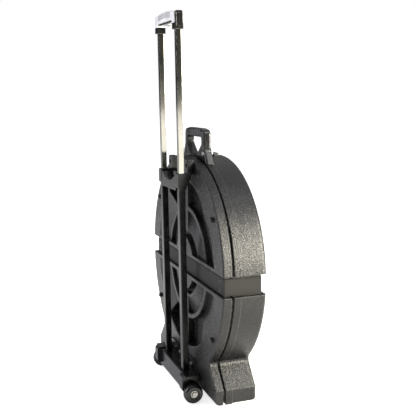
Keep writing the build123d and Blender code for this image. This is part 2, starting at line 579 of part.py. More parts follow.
ROD_W = 3.0
PIN_Y = 3.0
PIN_Z = 4.0
TAIL_TOP = PIN_H + 6
TAIL_FOOT = PIN_H - 8
for name, side in SIDES.items():
    centre = side * TUBE_X
    tip = centre - side * (OUTER_BORE / 2 + 0.8)

    with BuildPart() as outer_tube:
        block(centre - OUTER_W / 2, centre + OUTER_W / 2, -OUTER_W / 2, OUTER_W / 2, TUBE_FOOT, TUBE_TOP)
        fillet(edges().filter_by(Axis.Z), 2)
        block(centre - OUTER_BORE / 2, centre + OUTER_BORE / 2, -OUTER_BORE / 2, OUTER_BORE / 2,
              TUBE_FOOT + 4, TUBE_TOP + 1, Mode.SUBTRACT)
        block(centre, centre - side * (OUTER_BORE / 2 + GROOVE_D), -GROOVE_W / 2, GROOVE_W / 2,
              TUBE_FOOT + 8, PIN_H + PIN_Z + 6, Mode.SUBTRACT)
    outer_tube.part.locate(leaning.location)
    outer_tube.part.label = f"outer_tube_{name}"
    export_step(outer_tube.part, f"parts/outer_tube_{name}.step")

    with BuildPart() as tube_bush:
        block(centre - OUTER_W / 2, centre + OUTER_W / 2, -OUTER_W / 2, OUTER_W / 2, TUBE_TOP, BUSH_TOP)
        bore = INNER_W / 2 + GAP / 2
        block(centre - bore, centre + bore, -bore, bore, TUBE_TOP - 1, BUSH_TOP + 1, Mode.SUBTRACT)
    tube_bush.part.locate(leaning.location)
    tube_bush.part.label = f"tube_bush_{name}"
    export_step(tube_bush.part, f"parts/tube_bush_{name}.step")

    with BuildPart() as inner_tube:
        block(centre - INNER_W / 2, centre + INNER_W / 2, -INNER_W / 2, INNER_W / 2, INNER_FOOT, INNER_TOP)
        block(centre - INNER_BORE / 2, centre + INNER_BORE / 2, -INNER_BORE / 2, INNER_BORE / 2,
              INNER_FOOT - 1, INNER_TOP + 1, Mode.SUBTRACT)
        block(centre, centre - side * INNER_W, -PIN_Y - GAP, PIN_Y + GAP, PIN_H - PIN_Z - GAP, PIN_H + PIN_Z + GAP,
              Mode.SUBTRACT)
    inner_tube.part.locate(leaning.location)
    inner_tube.part.label = f"inner_tube_{name}"
    export_step(inner_tube.part, f"parts/inner_tube_{name}.step")

    with BuildPart() as tube_glide:
        foot = OUTER_BORE / 2 - GAP / 2
        block(centre - foot, centre + foot, -foot, foot, INNER_FOOT - 6, INNER_FOOT)
        block(centre - INNER_BORE / 2, centre + INNER_BORE / 2, -INNER_BORE / 2, INNER_BORE / 2,
              INNER_FOOT, PIN_H + 14)
        block(centre - 4.6, centre + 4.6, -1.7, 1.7, INNER_FOOT + 4, PIN_H + 15, Mode.SUBTRACT)
        block(centre - INNER_BORE, centre + INNER_BORE, -PIN_Y - GAP, PIN_Y + GAP,
              PIN_H - PIN_Z - GAP, PIN_H + PIN_Z + GAP, Mode.SUBTRACT)
    tube_glide.part.locate(leaning.location)
    tube_glide.part.label = f"tube_glide_{name}"
    export_step(tube_glide.part, f"parts/tube_glide_{name}.step")

    with BuildPart() as lock_pin:
        block(tip, centre + side * 4.5, -PIN_Y, PIN_Y, PIN_H - PIN_Z, PIN_H + PIN_Z)
        sloped_bar(centre, ROD_W + 2 * GAP, ROD_W + 2 * GAP, PIN_H - 9, PIN_H + 9, Mode.SUBTRACT)
    lock_pin.part.locate(leaning.location)
    lock_pin.part.label = f"lock_pin_{name}"
    export_step(lock_pin.part, f"parts/lock_pin_{name}.step")

    with BuildPart() as release_rod:
        rod_x = centre - side * (TAIL_TOP - PIN_H) / 4
        sloped_bar(centre, ROD_W, ROD_W, TAIL_FOOT, TAIL_TOP, Mode.ADD)
        block(rod_x - ROD_W / 2, rod_x + ROD_W / 2, -ROD_W / 2, ROD_W / 2, TAIL_TOP, GRIP_FOOT + 29)
    release_rod.part.locate(leaning.location)
    release_rod.part.label = f"release_rod_{name}"
    export_step(release_rod.part, f"parts/release_rod_{name}.step")

# ---------------------------------------------------------------- towing grip
CORE_LOW = GRIP_FOOT + 22
CORE_TOP = GRIP_FOOT + 43
RING_TOP = GRIP_FOOT + 18
COVER_X = TUBE_X + 11
COVER_IN = TUBE_X - 13


def core_blocks(mode):
    """Outside of the grip's core: a bar and two end blocks."""
    block(-TUBE_X, TUBE_X, -10, 10, CORE_LOW, CORE_TOP, mode)
    for side in (-1, 1):
        block(side * (TUBE_X - 10), side * (TUBE_X + 9), -11, 11, RING_TOP, GRIP_TOP - 7, mode)


with BuildPart() as grip_core:
    core_blocks(Mode.ADD)
    block(-TUBE_X - 5, TUBE_X + 5, -6, 6, CORE_LOW + 6, CORE_TOP - 4, Mode.SUBTRACT)
    block(-22 - GAP, 22 + GAP, -8 - GAP, 8 + GAP, CORE_LOW - 1, CORE_LOW + 11, Mode.SUBTRACT)
    for side in (-1, 1):
        block(side * (TUBE_X - 5), side * (TUBE_X + 5), -5, 5, RING_TOP - 1, CORE_LOW + 8, Mode.SUBTRACT)
grip_core.part.locate(leaning.location)
grip_core.part.label = "grip_core"
export_step(grip_core.part, "parts/grip_core.step")

with BuildPart() as grip_cover:
    with BuildSketch(Plane.XZ.offset(-13.5)) as crown:
        with BuildLine():
            Polyline((-COVER_X, GRIP_TOP - 3), (-COVER_X, RING_TOP), (-COVER_IN, RING_TOP), (-COVER_IN, CORE_LOW + 5),
                     (COVER_IN, CORE_LOW + 5), (COVER_IN, RING_TOP), (COVER_X, RING_TOP), (COVER_X, GRIP_TOP - 3))
            ThreePointArc((COVER_X, GRIP_TOP - 3), (0, GRIP_TOP + 4), (-COVER_X, GRIP_TOP - 3))
        make_face()
        fillet(vertices().filter_by_position(Axis.Y, CORE_LOW + 4, CORE_LOW + 6), 8)
    extrude(crown.sketch, amount=27)
    fillet(edges().group_by(SortBy.LENGTH)[-1], 4)
    core_blocks(Mode.SUBTRACT)
grip_cover.part.locate(leaning.location)
grip_cover.part.label = "grip_cover"
export_step(grip_cover.part, "parts/grip_cover.step")

with BuildPart() as grip_ends:
    for side in (-1, 1):
        block(side * (TUBE_X - 13), side * (TUBE_X + 14), -13, 13, GRIP_FOOT, RING_TOP)
        block(side * (TUBE_X + 11), side * (TUBE_X + 14), -12, 12, GRIP_FOOT, GRIP_TOP - 1)
    fillet(edges().filter_by(Axis.X).group_by(Axis.Z)[-1], 6)
    for side in (-1, 1):
        x = side * TUBE_X
        half = INNER_W / 2
        block(x - half, x + half, -half, half, GRIP_FOOT - 1, INNER_TOP, Mode.SUBTRACT)
        block(x - 5, x + 5, -5, 5, INNER_TOP - 1, RING_TOP + 1, Mode.SUBTRACT)
        block(side * (TUBE_X + 13.2), side * (TUBE_X + 15), -8, 8, GRIP_FOOT + 8, GRIP_TOP - 8, Mode.SUBTRACT)
grip_ends.part.locate(leaning.location)
grip_ends.part.label = "grip_ends"
export_step(grip_ends.part, "parts/grip_ends.step")

with BuildPart() as release_button:
    yoke = GRIP_FOOT + 29
    block(-TUBE_X - 2, TUBE_X + 2, -3, 3, yoke, yoke + 4)
    block(-22, 22, -8, 8, CORE_LOW - 5, yoke)
release_button.part.locate(leaning.location)
release_button.part.label = "release_button"
export_step(release_button.part, "parts/release_button.step")

# ---------------------------------------------------------------- wheels
for name, side in SIDES.items():
    with BuildPart() as tyre:
        axle_rod(WHEEL_R, side * WHEEL_X0, side * WHEEL_X1)
        fillet(edges(), 9)
        axle_rod(HUB_R, side * (WHEEL_X0 - 1), side * (WHEEL_X1 + 1), Mode.SUBTRACT)
    tyre.part.label = f"tyre_{name}"
    export_step(tyre.part, f"parts/tyre_{name}.step")

    hub_in = WHEEL_X0 + 2
    hub_out = WHEEL_X1 - 2
    with BuildPart() as hub:
        axle_rod(HUB_R, side * hub_in, side * hub_out)
        axle_rod(BEARING_R, side * (hub_in - 1), side * (hub_in + 1 + BEARING_W), Mode.SUBTRACT)
        axle_rod(BEARING_R, side * (hub_out - 1 - BEARING_W), side * (hub_out + 1), Mode.SUBTRACT)
        axle_rod(BEARING_R - 2, side * hub_in, side * hub_out, Mode.SUBTRACT)
    hub.part.label = f"hub_{name}"
    export_step(hub.part, f"parts/hub_{name}.step")

    seats = (hub_in + 1, hub_out - 1 - BEARING_W)
    race = Plane(origin=(0, AXLE_Y, AXLE_Z), x_dir=(0, 1, 0), z_dir=(1, 0, 0))
    with BuildPart() as bearing_outer:
        for seat in seats:
            axle_rod(BEARING_R, side * seat, side * (seat + BEARING_W))
            axle_rod(9.2, side * (seat - 1), side * (seat + BEARING_W + 1), Mode.SUBTRACT)
            with Locations(race.offset(side * (seat + BEARING_W / 2))):
                Torus(7.65, 2.04, mode=Mode.SUBTRACT)
    bearing_outer.part.label = f"bearing_outer_{name}"
    export_step(bearing_outer.part, f"parts/bearing_outer_{name}.step")

    with BuildPart() as bearing_balls:
        for seat in seats:
            with Locations(race.offset(side * (seat + BEARING_W / 2))):
                with PolarLocations(7.65, 7):
                    Sphere(2)
    bearing_balls.part.label = f"bearing_balls_{name}"
    export_step(bearing_balls.part, f"parts/bearing_balls_{name}.step")

    with BuildPart() as bearing_inner:
        for seat in seats:
            axle_rod(6.1, side * seat, side * (seat + BEARING_W))
        axle_rod(5.5, side * 147, side * (hub_out - 2))
        for seat in seats:
            with Locations(race.offset(side * (seat + BEARING_W / 2))):
                Torus(7.65, 2.04, mode=Mode.SUBTRACT)
        axle_rod(AXLE_R, side * 140, side * WHEEL_X1, Mode.SUBTRACT)
    bearing_inner.part.label = f"bearing_inner_{name}"
    export_step(bearing_inner.part, f"parts/bearing_inner_{name}.step")

    with BuildPart() as axle_bolt:
        axle_rod(AXLE_R, side * 122, side * hub_out)
        axle_rod(6.2, side * (hub_out - 1), side * (hub_out + 4))
        with BuildSketch(Plane.YZ.offset(side * (hub_out + 4))) as socket:
            with Locations((AXLE_Y, AXLE_Z)):
                RegularPolygon(3.2, 6)
        extrude(socket.sketch, amount=-side * 4, mode=Mode.SUBTRACT)
    axle_bolt.part.label = f"axle_bolt_{name}"
    export_step(axle_bolt.part, f"parts/axle_bolt_{name}.step")

# ---------------------------------------------------------------- carry handle
GRIP_X = 58.0
GRIP_LOW = HANDLE_TOP - 25
with BuildPart() as carry_handle:
    with BuildSketch(upright(HANDLE_Y - HANDLE_W / 2)) as loop:
        Polygon((-138, 690), (-112, 730), (-88, 768), (-83, HANDLE_TOP - 3), (83, HANDLE_TOP - 3),
                (88, 768), (112, 730), (138, 690), align=None)
        fillet(vertices().group_by(Axis.Y)[-1], 17)
        fillet(vertices().filter_by_position(Axis.Y, 767, 769), 40)
        with BuildSketch(mode=Mode.PRIVATE) as eye:
            Polygon((-65, GRIP_LOW), (65, GRIP_LOW), (65, 782), (28, 749), (-28, 749), (-65, 782), align=None)
            fillet(vertices(), 7)
        add(eye.sketch, mode=Mode.SUBTRACT)
        with Locations((0, ZC)):
            Circle(R, mode=Mode.SUBTRACT)
    extrude(loop.sketch, amount=-HANDLE_W)
    block(-GRIP_X, GRIP_X, HANDLE_Y - 20, HANDLE_Y + 20, GRIP_LOW - 10, HANDLE_TOP + 10, Mode.SUBTRACT)
    block(-GRIP_X - 1, GRIP_X + 1, HANDLE_Y - 6, HANDLE_Y + 6, GRIP_LOW + 6, HANDLE_TOP - 8)
    for side in (-1, 1):
        block(side * (ANCHOR_X - 8 - GAP), side * (ANCHOR_X + 8 + GAP), ANCHOR_Y - 1.5 - GAP, ANCHOR_Y + 1.5 + GAP,
              ZC + R - 40, ANCHOR_Z + 9, Mode.SUBTRACT)
        rod(3 + GAP, HANDLE_Y - 30, HANDLE_Y + 30, side * ANCHOR_X, ANCHOR_Z, Mode.SUBTRACT)
carry_handle.part.label = "carry_handle"
export_step(carry_handle.part, "parts/carry_handle.step")

with BuildPart() as carry_grip:
    block(-GRIP_X, GRIP_X, HANDLE_Y - 12.5, HANDLE_Y + 12.5, GRIP_LOW, HANDLE_TOP)
    fillet(edges().filter_by(Axis.X), 7)
    for x in (-44, -22, 0, 22, 44):
        rod(7, HANDLE_Y - 9, HANDLE_Y + 9, x, GRIP_LOW + 4)
    block(-GRIP_X - 1, GRIP_X + 1, HANDLE_Y - 6, HANDLE_Y + 6, GRIP_LOW + 6, HANDLE_TOP - 8, Mode.SUBTRACT)
carry_grip.part.label = "carry_grip"
export_step(carry_grip.part, "parts/carry_grip.step")

with BuildPart() as handle_anchors:
    for side in (-1, 1):
        with BuildSketch(upright(BACK_Y + 49.6)) as saddle_plate:
            with Locations((0, ZC)):
                Circle(R - WALL)
                Circle(R - WALL - 4, mode=Mode.SUBTRACT)
            with Locations((side * ANCHOR_X, ZC + R)):
                Rectangle(30, 60, mode=Mode.INTERSECT)
        extrude(saddle_plate.sketch, amount=-6)
        block(side * (ANCHOR_X - 8), side * (ANCHOR_X + 8), ANCHOR_Y - 1.5, ANCHOR_Y + 1.5,
              ZC + R - 16, ANCHOR_Z + 8)
        rod(3 + GAP, HANDLE_Y - 30, HANDLE_Y + 30, side * ANCHOR_X, ANCHOR_Z, Mode.SUBTRACT)
handle_anchors.part.label = "handle_anchors"
export_step(handle_anchors.part, "parts/handle_anchors.step")

with BuildPart() as handle_bolts:
    for side in (-1, 1):
        rod(7, HANDLE_Y - HANDLE_W / 2 - 3.5, HANDLE_Y - HANDLE_W / 2, side * ANCHOR_X, ANCHOR_Z)
        rod(3, HANDLE_Y - HANDLE_W / 2 - 1, HANDLE_Y + HANDLE_W / 2 + 6, side * ANCHOR_X, ANCHOR_Z)
handle_bolts.part.label = "handle_bolts"
export_step(handle_bolts.part, "parts/handle_bolts.step")


# ---------------------------------------------------------------- crest pad and front feet
with BuildPart() as crest_pad:
    with BuildSketch(upright(BACK_Y + 97)) as pad:
        with Locations((0, ZC)):
            Circle(R + 7)
            Circle(R - LIP_STEP, mode=Mode.SUBTRACT)
        with Locations((0, ZC + R)):
            Rectangle(30, 40, mode=Mode.INTERSECT)
    extrude(pad.sketch, amount=-14)
    fillet(faces().sort_by(Axis.Z)[-1].edges(), 2)
crest_pad.part.label = "crest_pad"
export_step(crest_pad.part, "parts/crest_pad.step")

with BuildPart() as front_feet:
    for side in (-1, 1):
        with Locations((side * FRONT_FOOT_X, FRONT_FOOT_Y, FOOT_Z / 2)):
            Cylinder(FRONT_FOOT_R, FOOT_Z)
    fillet(faces().group_by(Axis.Z)[0].edges(), 3)
    for side in (-1, 1):
        with Locations((side * FRONT_FOOT_X, FRONT_FOOT_Y, FOOT_Z)):
            Cylinder(3 + GAP, 2 * FOOT_Z + 2, mode=Mode.SUBTRACT)
        with Locations((side * FRONT_FOOT_X, FRONT_FOOT_Y, 5)):
            Cylinder(7, 11, mode=Mode.SUBTRACT)
front_feet.part.label = "front_feet"
export_step(front_feet.part, "parts/front_feet.step")

with BuildPart() as foot_screws:
    for side in (-1, 1):
        with Locations((side * FRONT_FOOT_X, FRONT_FOOT_Y, 8.5)):
            Cylinder(6, 4)
        with Locations((side * FRONT_FOOT_X, FRONT_FOOT_Y, 25.5)):
            Cylinder(3, 33)
foot_screws.part.label = "foot_screws"
export_step(foot_screws.part, "parts/foot_screws.step")

with BuildPart() as lid_nuts:
    for side in (-1, 1):
        with BuildSketch(Plane.XY.offset(FOOT_Z + WALL + LIP_STEP)) as foot_nut:
            with Locations((side * FRONT_FOOT_X, FRONT_FOOT_Y)):
                RegularPolygon(5.8, 6)
                Circle(3, mode=Mode.SUBTRACT)
        extrude(foot_nut.sketch, amount=5)
        with BuildSketch(upright(HANDLE_Y + HANDLE_W / 2)) as handle_nut:
            with Locations((side * ANCHOR_X, ANCHOR_Z)):
                RegularPolygon(5.8, 6)
                Circle(3, mode=Mode.SUBTRACT)
        extrude(handle_nut.sketch, amount=-5)
lid_nuts.part.label = "lid_nuts"
export_step(lid_nuts.part, "parts/lid_nuts.step")
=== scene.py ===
import json
import math

import bpy
import numpy as np
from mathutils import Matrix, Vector


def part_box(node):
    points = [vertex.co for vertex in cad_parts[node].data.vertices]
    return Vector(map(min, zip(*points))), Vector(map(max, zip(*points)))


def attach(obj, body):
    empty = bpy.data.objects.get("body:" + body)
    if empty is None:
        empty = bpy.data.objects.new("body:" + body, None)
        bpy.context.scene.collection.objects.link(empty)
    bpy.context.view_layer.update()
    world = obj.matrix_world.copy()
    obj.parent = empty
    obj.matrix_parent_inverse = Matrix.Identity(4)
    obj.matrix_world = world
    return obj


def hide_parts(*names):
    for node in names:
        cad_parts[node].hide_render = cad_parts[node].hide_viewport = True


# A black roto-moulded cymbal case on small wheels with a telescopic towing handle.
# Metres; +Z up, X along the axle, the towing handle on the -Y side.

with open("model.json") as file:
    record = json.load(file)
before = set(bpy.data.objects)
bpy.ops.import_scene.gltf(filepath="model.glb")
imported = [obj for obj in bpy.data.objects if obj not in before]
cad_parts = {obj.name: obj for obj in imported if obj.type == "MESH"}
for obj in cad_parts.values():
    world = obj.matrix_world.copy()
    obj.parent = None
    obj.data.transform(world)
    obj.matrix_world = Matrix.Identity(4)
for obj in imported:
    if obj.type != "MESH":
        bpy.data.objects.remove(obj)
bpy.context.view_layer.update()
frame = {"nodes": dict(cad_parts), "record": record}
nodes = frame["nodes"]

BACK_Y = -0.0378


# ---------------------------------------------------------------- materials
class Look:
    """Small builder for one procedural material."""

    def __init__(self, name):
        self.mat = bpy.data.materials.new(name)
        self.mat.use_nodes = True
        self.tree = self.mat.node_tree
        self.bsdf = self.tree.nodes["Principled BSDF"]
        self.where = self.node("ShaderNodeTexCoord").outputs["Object"]

    def node(self, kind, **values):
        n = self.tree.nodes.new(kind)
        for key, value in values.items():
            setattr(n, key, value)
        return n

    def link(self, a, b):
        self.tree.links.new(a, b)

    def noise(self, scale, detail=3.0, rough=0.5, stretch=None):
        n = self.node("ShaderNodeTexNoise")
        n.inputs["Scale"].default_value = scale
        n.inputs["Detail"].default_value = detail
        n.inputs["Roughness"].default_value = rough
        if stretch:
            mapping = self.node("ShaderNodeMapping")
            mapping.inputs["Scale"].default_value = stretch
            self.link(self.where, mapping.inputs["Vector"])
            self.link(mapping.outputs["Vector"], n.inputs["Vector"])
        else:
            self.link(self.where, n.inputs["Vector"])
        return n.outputs["Fac"]

    def cells(self, scale):
        n = self.node("ShaderNodeTexVoronoi", feature="SMOOTH_F1")
        n.inputs["Scale"].default_value = scale
        n.inputs["Smoothness"].default_value = 0.4
        self.link(self.where, n.inputs["Vector"])
        return n.outputs["Distance"]

    def bands(self, scale, direction, distortion=0.0):
        n = self.node("ShaderNodeTexWave", wave_type="BANDS", bands_direction=direction)
        n.inputs["Scale"].default_value = scale
        n.inputs["Distortion"].default_value = distortion
        self.link(self.where, n.inputs["Vector"])
        return n.outputs["Fac"]

    def span(self, value, low, high, low_in=0.0, high_in=1.0):
        n = self.node("ShaderNodeMapRange")
        n.inputs["From Min"].default_value = low_in
        n.inputs["From Max"].default_value = high_in
        n.inputs["To Min"].default_value = low
        n.inputs["To Max"].default_value = high
        self.link(value, n.inputs["Value"])
        return n.outputs["Result"]

    def math(self, kind, a, b):
        n = self.node("ShaderNodeMath", operation=kind)
        for i, v in enumerate((a, b)):
            if isinstance(v, (int, float)):
                n.inputs[i].default_value = v
            else:
                self.link(v, n.inputs[i])
        return n.outputs[0]

    def tint(self, value, dark, light, low_in=0.35, high_in=0.65):
        n = self.node("ShaderNodeValToRGB")
        n.color_ramp.elements[0].position = low_in
        n.color_ramp.elements[0].color = (*dark, 1)
        n.color_ramp.elements[1].position = high_in
        n.color_ramp.elements[1].color = (*light, 1)
        self.link(value, n.inputs["Fac"])
        self.link(n.outputs["Color"], self.bsdf.inputs["Base Color"])
        return n.outputs["Color"]

    def wear_and_edge_highlight(self, color, radius, rubbed_and_lit):
        """Lighten the convex edges, where a rounded normal turns away from the real one: a painted
        highlight along the edges, together with edge wear.
        """
        rounded = self.node("ShaderNodeBevel", samples=6)
        rounded.inputs["Radius"].default_value = radius
        apart = self.node("ShaderNodeVectorMath", operation="DOT_PRODUCT")
        self.link(rounded.outputs["Normal"], apart.inputs[0])
        self.link(self.node("ShaderNodeNewGeometry").outputs["Normal"], apart.inputs[1])
        edge = self.span(apart.outputs["Value"], 1.0, 0.0, 0.78, 0.99)
        mix = self.node("ShaderNodeMixRGB")
        mix.inputs["Color2"].default_value = (*rubbed_and_lit, 1)
        self.link(edge, mix.inputs["Fac"])
        self.link(color, mix.inputs["Color1"])
        self.link(mix.outputs["Color"], self.bsdf.inputs["Base Color"])

    def roughness(self, value):
        self.link(value, self.bsdf.inputs["Roughness"])

    def bump(self, height, depth, edge=0.0):
        """Surface relief of the given depth in metres, over edges softened by a radius."""
        n = self.node("ShaderNodeBump")
        n.inputs["Strength"].default_value = 1.0
        n.inputs["Distance"].default_value = depth
        self.link(height, n.inputs["Height"])
        if edge:
            soft = self.node("ShaderNodeBevel", samples=6)
            soft.inputs["Radius"].default_value = edge
            self.link(soft.outputs["Normal"], n.inputs["Normal"])
        self.link(n.outputs["Normal"], self.bsdf.inputs["Normal"])


def moulded_shell():
    """Rotationally moulded black polyethylene, pebbled, with flecks that catch the light."""
    look = Look("moulded_shell")
    pebble = look.cells(520)
    fleck = look.noise(260, 3, 0.75)
    fine = look.noise(800, 4, 0.6)
    wide = look.noise(7, 4, 0.6)
    color = look.tint(wide, (0.0035, 0.0033, 0.0036), (0.0062, 0.0059, 0.0062))
    # painted highlight and wear: the convex edges are lightened towards a pale grey
    look.wear_and_edge_highlight(color, 0.0022, (0.075, 0.073, 0.07))
    flecked = look.math("ADD", fleck, look.math("MULTIPLY", wide, 0.3))
    look.roughness(look.span(flecked, 0.15, 0.44, 0.54, 0.8))
    relief = look.math("ADD", look.math("MULTIPLY", pebble, 1.2), look.math("MULTIPLY", fine, 0.6))
    look.bump(relief, 0.00045, 0.0035)
    look.bsdf.inputs["Specular IOR Level"].default_value = 0.42
    return look.mat


def hard_plastic(name, dark, light, low, high, edge=0.0012, grain=700, depth=0.00012):
    """Satin injection-moulded plastic."""
    look = Look(name)
    wide = look.noise(24, 4, 0.6)
    fine = look.noise(grain, 3, 0.6)
    color = look.tint(wide, dark, light)
    # painted highlight and wear: the convex edges are lightened towards a paler copy of the light tone
    look.wear_and_edge_highlight(color, edge, tuple(0.06 + 1.1 * part for part in light))
    grained = look.math("ADD", wide, look.math("MULTIPLY", fine, 0.4))
    look.roughness(look.span(grained, low, high, 0.4, 1.0))
    look.bump(fine, depth, edge)
    look.bsdf.inputs["Specular IOR Level"].default_value = 0.4
    return look.mat


def rubber(name, dark, light, low, high, grain=500, depth=0.0002):
    """Matt soft rubber."""
    look = Look(name)
    wide = look.noise(30, 4, 0.6)
    fine = look.noise(grain, 4, 0.65)
    look.tint(wide, dark, light)
    look.roughness(look.span(fine, low, high, 0.3, 0.7))
    look.bump(fine, depth, 0.001)
    return look.mat


def metal(name, dark, light, low, high):
    """Zinc-plated steel with faint streaks."""
    look = Look(name)
    streaks = look.noise(60, 5, 0.65, (1.0, 1.0, 12.0))
    fine = look.noise(1500, 2, 0.5)
    look.tint(streaks, dark, light)
    look.roughness(look.span(streaks, low, high, 0.3, 0.7))
    look.bump(fine, 0.00003, 0.0004)
    look.bsdf.inputs["Metallic"].default_value = 1.0
    return look.mat


def tube_finish(name, dark, light, low, high, metallic):
    """Plated or painted square tube, with faint drawing lines along it."""
    look = Look(name)
    lines = look.noise(500, 4, 0.6, (1.0, 1.0, 0.02))
    wide = look.noise(14, 4, 0.6)
    look.tint(wide, dark, light)
    streaked = look.math("ADD", wide, look.math("MULTIPLY", lines, 0.5))
    look.roughness(look.span(streaked, low, high, 0.4, 1.1))
    look.bump(lines, 0.000006, 0.0012)
    look.bsdf.inputs["Metallic"].default_value = metallic
    return look.mat


def webbing():
    """Woven polypropylene webbing: ribs across the strap, rows along it."""
    look = Look("webbing")
    rows = look.bands(260, "Z", 0.4)
    across = look.math("MULTIPLY", look.bands(330, "X", 0.3), look.bands(330, "Y", 0.3))
    weave = look.math("ADD", rows, across)
    fuzz = look.noise(2500, 3, 0.7)
    look.tint(look.math("MULTIPLY", weave, 0.5), (0.004, 0.004, 0.0035), (0.02, 0.019, 0.0165), 0.1, 0.9)
    look.roughness(look.span(fuzz, 0.6, 0.85))
    look.bump(look.math("ADD", weave, look.math("MULTIPLY", fuzz, 0.3)), 0.0004)
    look.bsdf.inputs["Sheen Weight"].default_value = 0.03
    return look.mat


def foam(name, dark, light):
    """Brushed soft lining."""
    look = Look(name)
    fuzz = look.noise(1400, 5, 0.7)
    wide = look.noise(30, 4, 0.6)
    look.tint(look.math("MULTIPLY", look.math("ADD", fuzz, wide), 0.5), dark, light)
    look.roughness(look.span(fuzz, 0.85, 1.0))
    look.bump(fuzz, 0.0008, 0.002)
    look.bsdf.inputs["Sheen Weight"].default_value = 0.3
    return look.mat


def tyre():
    """Glossy black polyurethane."""
    look = Look("wheel_tyre")
    wide = look.noise(40, 4, 0.6)
    scuffs = look.noise(220, 5, 0.7)
    look.tint(wide, (0.006, 0.006, 0.007), (0.014, 0.014, 0.015))
    look.roughness(look.span(scuffs, 0.14, 0.34, 0.35, 0.7))
    look.bump(scuffs, 0.00006, 0.001)
    return look.mat


looks = {
    "moulded_shell": moulded_shell(),
    "lining_foam": foam("lining_foam", (0.02, 0.02, 0.022), (0.05, 0.05, 0.054)),
    "felt": foam("felt", (0.4, 0.39, 0.36), (0.6, 0.59, 0.55)),
    "webbing": webbing(),
    "stud_black": hard_plastic(
        "stud_black", (0.01, 0.01, 0.011), (0.018, 0.018, 0.019),
        0.16, 0.3, 0.001, 900, 0.00004,
    ),
    "zinc_steel": metal("zinc_steel", (0.45, 0.45, 0.44), (0.7, 0.69, 0.66), 0.22, 0.4),
    "moulded_hard": hard_plastic(
        "moulded_hard", (0.0045, 0.0045, 0.0048), (0.009, 0.009, 0.0092),
        0.13, 0.24,
    ),
    "tube_black": tube_finish(
        "tube_black", (0.40, 0.39, 0.34), (0.50, 0.485, 0.43),
        0.09, 0.14, 1.0,
    ),
    "grip_silver": hard_plastic("grip_silver", (0.70, 0.70, 0.71), (0.78, 0.78, 0.79), 0.2, 0.34),
    "button_grey": hard_plastic("button_grey", (0.3, 0.3, 0.31), (0.42, 0.42, 0.43), 0.35, 0.5),
    "soft_grip": rubber("soft_grip", (0.006, 0.006, 0.006), (0.012, 0.012, 0.012), 0.4, 0.62),
    "wheel_tyre": tyre(),
    "wheel_hub": hard_plastic("wheel_hub", (0.008, 0.008, 0.008), (0.016, 0.016, 0.016), 0.25, 0.4),
}
painted = tube_finish("tube_painted", (0.004, 0.004, 0.0043), (0.007, 0.007, 0.0075), 0.14, 0.26, 0.0)
own_looks = {"outer_tube_left": painted, "outer_tube_right": painted}
for part in frame["record"]["subparts"]:
    mesh = nodes[part["node"]].data
    mesh.materials.clear()
    mesh.materials.append(own_looks.get(part["node"], looks[part["material_slot"]]))


# ---------------------------------------------------------------- soft pieces
def new_object(name, mesh, slot, body, *stands_for):
    """Put a finished mesh in the scene, riding on a body and standing for CAD nodes."""
    piece = bpy.data.objects.new(name, mesh)
    bpy.context.scene.collection.objects.link(piece)
    mesh.materials.clear()
    mesh.materials.append(looks[slot])
    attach(piece, body)
    if stands_for:
        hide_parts(*stands_for)
    return piece


def settled(obj):
    """The object's mesh with its modifiers applied, as a new mesh."""
    graph = bpy.context.evaluated_depsgraph_get()
    return bpy.data.meshes.new_from_object(obj.evaluated_get(graph))


def smooth(mesh):
    mesh.polygons.foreach_set("use_smooth", [True] * len(mesh.polygons))


def remeshed(node, voxel, rounds):
    """A CAD solid's mesh in small even faces, with its edges rounded over."""
    rough = bpy.data.objects.new("rough", nodes[node].data.copy())
    bpy.context.scene.collection.objects.link(rough)
    remesh = rough.modifiers.new("remesh", "REMESH")
    remesh.mode = "VOXEL"
    remesh.voxel_size = voxel
    relax = rough.modifiers.new("relax", "SMOOTH")
    relax.factor = 0.5
    relax.iterations = rounds
    mesh = settled(rough)
    bpy.data.objects.remove(rough)
    return mesh


def swell(mesh, amount):
    """Move every point along its normal by amount(x, y, z, normals), in metres."""
    count = len(mesh.vertices)
    place = np.empty(count * 3)
    outward = np.empty(count * 3)
    mesh.vertices.foreach_get("co", place)
    mesh.vertices.foreach_get("normal", outward)
    place, outward = place.reshape(-1, 3), outward.reshape(-1, 3)
    x, y, z = place.T
    place += outward * amount(x, y, z, outward)[:, None]
    mesh.vertices.foreach_set("co", place.ravel())
    mesh.update()
    smooth(mesh)


def pad(name, node, slot, body, voxel, rounds, puff):
    """Soft pad made from a CAD solid: rounded edges and a gently uneven, crowned face."""

    def uneven(x, y, z, outward):
        wave = np.sin(31 * x + 3) * np.sin(27 * z + 1) + 0.5 * np.sin(83 * x) * np.sin(71 * z)
        return puff * (wave - 1.0)

    mesh = remeshed(node, voxel, rounds)
    swell(mesh, uneven)
    piece = new_object(name, mesh, slot, body, node)


def carry_handle():
    """Handle with organically rounded legs, and a soft grip with five finger hollows."""
    mesh = remeshed("carry_handle", 0.0013, 22)
    low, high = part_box("carry_handle")
    height = high[2] - low[2]

    def flare(x, y, z, outward):
        """Legs grow thicker towards the rim, and are slightly waisted above it."""
        down = np.clip((high[2] - z) / height, 0, 1)
        return 0.0016 + 0.0035 * np.clip(down - 0.45, 0, 1) - 0.0012 * np.sin(np.pi * down)

    swell(mesh, flare)
    new_object("handle_moulding", mesh, "moulded_hard", "lid", "carry_handle")

    pitch = 0.022
    mesh = remeshed("carry_grip", 0.0011, 8)

    def fingers(x, y, z, outward):
        """Five hollows under the grip and on its rear side, with ridges between them."""
        ridge = np.abs(np.sin(np.pi * x / pitch + np.pi / 2)) ** 0.7
        facing = np.clip(-outward[:, 1], 0, 1) + np.clip(-outward[:, 2], 0, 1)
        return 0.0012 - 0.0026 * ridge * np.clip(facing, 0, 1)

    swell(mesh, fingers)
    new_object("handle_overmould", mesh, "soft_grip", "lid", "carry_grip")


